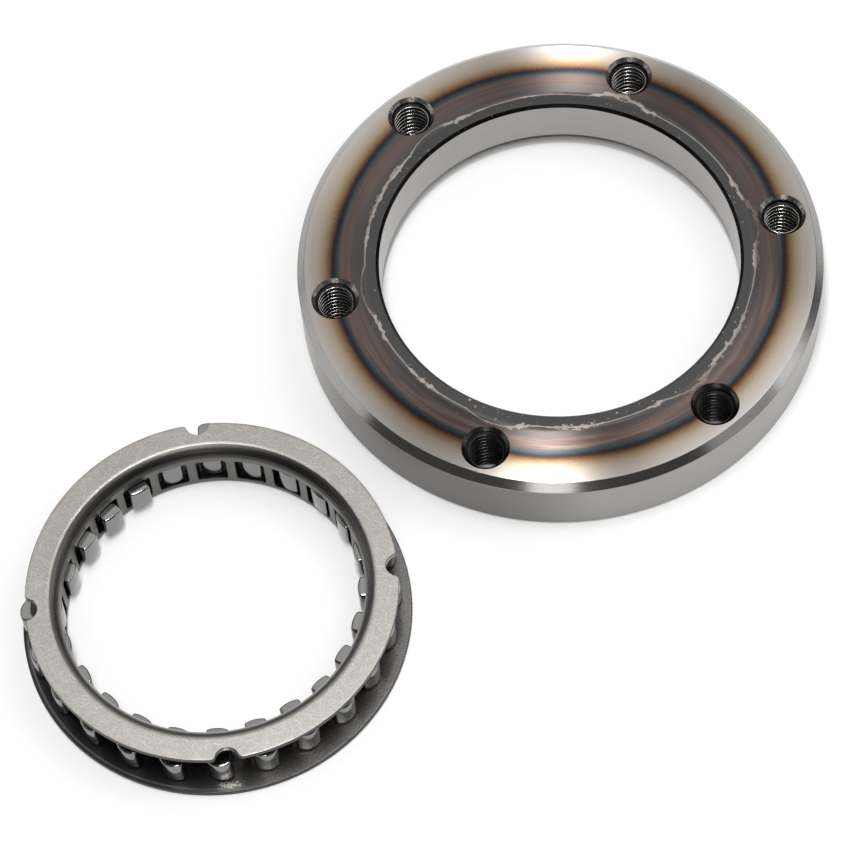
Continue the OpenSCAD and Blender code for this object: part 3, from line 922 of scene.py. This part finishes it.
# %% Cage
bend, heel, sheet_edge = 0.5, 0.6, 0.18
under = cage_h - gauge
cage_section = rounded([
    (wall_r, 0, heel), (rim_r, 0, sheet_edge), (rim_r, gauge, sheet_edge), (channel_r, gauge, bend),
    (channel_r, under, lip - gauge), (flange_r, under, sheet_edge), (flange_r, cage_h, sheet_edge),
    (wall_r, cage_h, lip),
], steps=8)
cage = turned_solid("cage_body", cage_section, cage_at, segments)
print("cage section:", len(cage_section), "points")

# %% [markdown]
# Each sprag has a window in the wall. A box could cut it, but its edge would then stay sharp, so the cutter follows
# the curve of the wall and flares towards the axis, which leaves an even broken edge. The ring tree sets one cutter
# at every sprag.

# %% Windows in the cage
window_w, corner, flare, past_wall = 5.8, 0.5, 0.12, 0.9


def window_ring(radius, grown):
    half_w, low, high = window_w / 2 + grown, sill - grown, window_top + grown
    outline = rounded([(-half_w, low, corner + grown), (half_w, low, corner + grown),
                       (half_w, high, corner + grown), (-half_w, high, corner + grown)])
    return [(math.sqrt(radius ** 2 - p.x ** 2), p.x, p.y) for p in outline]


punch_rings = [window_ring(wall_r - overrun, flare + overrun), window_ring(wall_r + flare, 0),
               window_ring(channel_r + past_wall, 0)]
punch = solid("punch", punch_rings, closed_ring=False, capped=True)
sprag_names = sorted(name for name in frame["bodies"] if name.startswith("sprag_"))
first_pivot = pivots[sprag_names[0]] - cage_at
sprag_turn = math.atan2(first_pivot.y, first_pivot.x)
punches = grow(punch, ring_tree, "punches", Count=len(sprag_names), First_angle=sprag_turn, Centre=cage_at * MM,
               Finish=cage_steel)
cage = cut_away(cage, punches)
print("cage:", len(sprag_names), "windows")

# %% [markdown]
# The upper flange has four half-round notches in its edge, each with rounded shoulders where the punch has drawn the
# edge in. A plain round cutter would leave sharp corners there, so the outline is made of arcs that run into each
# other: a shoulder, the hollow and the other shoulder. The cutter widens at the top, again for a broken edge.

# %% Notches in the cage
notch_count, notch_r, notch_round, notch_turn = 4, 2.3, 0.8, math.radians(1)
back = notch_round + notch_r * (notch_r + 2 * notch_round) / (2 * flange_r)
aside = math.sqrt((notch_r + notch_round) ** 2 - back ** 2)
lean, open_lean = math.atan2(aside, back), math.atan2(aside, flange_r - back)
past = (flange_r + notch_r) / (flange_r - notch_round)


def notch_ring(z, grown):
    shoulder = arc(-back, aside, notch_round - grown, -lean, open_lean, 8)
    hollow = arc(0, 0, notch_r + grown, math.pi + lean, math.pi - lean, 24)
    outside = Vector((past * (flange_r - back) - flange_r, past * aside))
    outline = [Vector((p.x, -p.y)) for p in reversed(shoulder)] + hollow + shoulder
    outline += [outside, Vector((outside.x, -outside.y))]
    return [(flange_r + p.x, p.y, z) for p in outline]


notch_rings = [notch_ring(under - overrun, 0), notch_ring(cage_h - flare, 0),
               notch_ring(cage_h + overrun, flare + overrun)]
notch = solid("notch", notch_rings, closed_ring=False, capped=True)
notches = grow(notch, ring_tree, "notches", Count=notch_count, First_angle=notch_turn, Centre=cage_at * MM,
               Finish=cage_steel)
cage = cut_away(cage, notches)
cage.data.materials.clear()
cage.data.materials.append(cage_steel)
for face in cage.data.polygons:
    face.material_index = 0
smooth(cage)
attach(cage, "cage")
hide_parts("sprag_cage")
print("cage:", len(cage.data.polygons), "faces")

# %% [markdown]
# The ribbon spring is a thin band that already has its right shape in the CAD model, with an opening, a tongue and a
# relief slot for every sprag. It only needs its finish.

# %% Ribbon spring
ribbon = frame["nodes"]["ribbon_spring"]
ribbon.data.materials.clear()
ribbon.data.materials.append(spring_steel)
print("ribbon spring:", len(ribbon.data.polygons), "faces")

# %% [markdown]
# A sprag is a wedge with an outer cam, a hollowed waist and an inner cam. The cams are arcs about centres that lie
# off to opposite sides, so the sprag stands taller as it rocks, and that is what wedges the clutch. The outline could
# be drawn by hand, but arcs give it from the few sizes that a maker would use.

# %% Outline of a sprag
head_w, toe_w, waist_w, hollow_r = 4.6, 4.2, 3.0, 2.0
head_cam, toe_cam, offset = 3.2, 6.0, 0.4
pivot_r = first_pivot.xy.length
head_tip, toe_tip = bore_r - 0.1, 27.5


def sprag_outline():
    half_head, half_toe = head_w / 2, toe_w / 2
    hollow_x = waist_w / 2 + hollow_r
    above = math.acos((hollow_x - half_head) / hollow_r)
    below = -math.acos((hollow_x - half_toe) / hollow_r)
    head = arc(-offset, head_tip - head_cam, head_cam, math.acos((half_head + offset) / head_cam),
               math.pi - math.acos((half_head - offset) / head_cam), 20)
    left = arc(-hollow_x, pivot_r, hollow_r, above, below, 12)
    toe = arc(offset, toe_tip + toe_cam, toe_cam, math.pi + math.acos((half_toe + offset) / toe_cam),
              2 * math.pi - math.acos((half_toe - offset) / toe_cam), 20)
    right = arc(hollow_x, pivot_r, hollow_r, math.pi - below, math.pi - above, 12)
    return head + left + toe + right


print("sprag outline:", len(sprag_outline()), "points")

# %% [markdown]
# Sprags are cut to length and then tumbled until their edges are round. A bevel modifier could round them, but the
# short sides of the arcs would limit it. Instead the outline is spaced out evenly and smoothed, and at both ends it
# shrinks inwards in steps along a quarter circle, so its points stay in line from one end to the other.

# %% Rounded wedge
def softened(outline, spacing, passes):
    walked, points = 0.0, []
    for here, following in zip(outline, outline[1:] + outline[:1]):
        step = (following - here).length
        while walked < step:
            points.append(here.lerp(following, walked / step))
            walked += spacing
        walked -= step
    for _ in range(passes):
        points = [(points[i - 1] + 2 * points[i] + points[(i + 1) % len(points)]) / 4 for i in range(len(points))]
    return points


def inset(outline, depth):
    moved = []
    for i, here in enumerate(outline):
        along = (outline[(i + 1) % len(outline)] - outline[i - 1]).normalized()
        moved.append(here + Vector((-along.y, along.x)) * depth)
    return moved


sprag_low, sprag_high = (corner.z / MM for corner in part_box("sprag_01"))
end_round, end_steps, end_hold = 0.36, 5, 0.05
outline = softened(sprag_outline(), spacing=0.16, passes=5)
levels = []
for k in range(end_steps + 1):
    angle = math.pi / 2 * k / end_steps
    levels.append((sprag_low + end_round * (1 - math.sin(angle)), end_round * (1 - math.cos(angle))))
levels.append((sprag_low, end_round + end_hold))
levels = [(z, d) for z, d in reversed(levels)] + [(sprag_low + sprag_high - z, d) for z, d in levels]
sprag_rings = [[(p.y, -p.x, z) for p in inset(outline, depth)] for z, depth in levels]
print("wedge:", len(sprag_rings), "rings of", len(outline), "points")

# %% [markdown]
# All sprags have one shape, but each rocks about an axis of its own, so each is a piece of its own. The ring tree
# turns a wedge to the angle of each sprag and shifts it along the radius, to the depth at which that sprag lies in
# the CAD model. They could be placed by hand, but then they would no longer follow the frame.

# %% Sprags in their windows
for name in sprag_names:
    arm = (pivots[name] - cage_at).xy.normalized()
    tips = [(vertex.co / MM - cage_at).xy.dot(arm) for vertex in frame["nodes"][name].data.vertices]
    slip = max(tips) - head_tip
    wedge = solid("wedge", sprag_rings, closed_ring=False, capped=True)
    piece = grow(wedge, ring_tree, name + "_wedge", Count=1, First_angle=math.atan2(arm.y, arm.x),
                 Shift=slip * MM, Centre=cage_at * MM, Finish=sprag_steel)
    smooth(piece, 30)
    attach(piece, name)
    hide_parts(name)
print("sprags:", len(sprag_names), "in their windows")
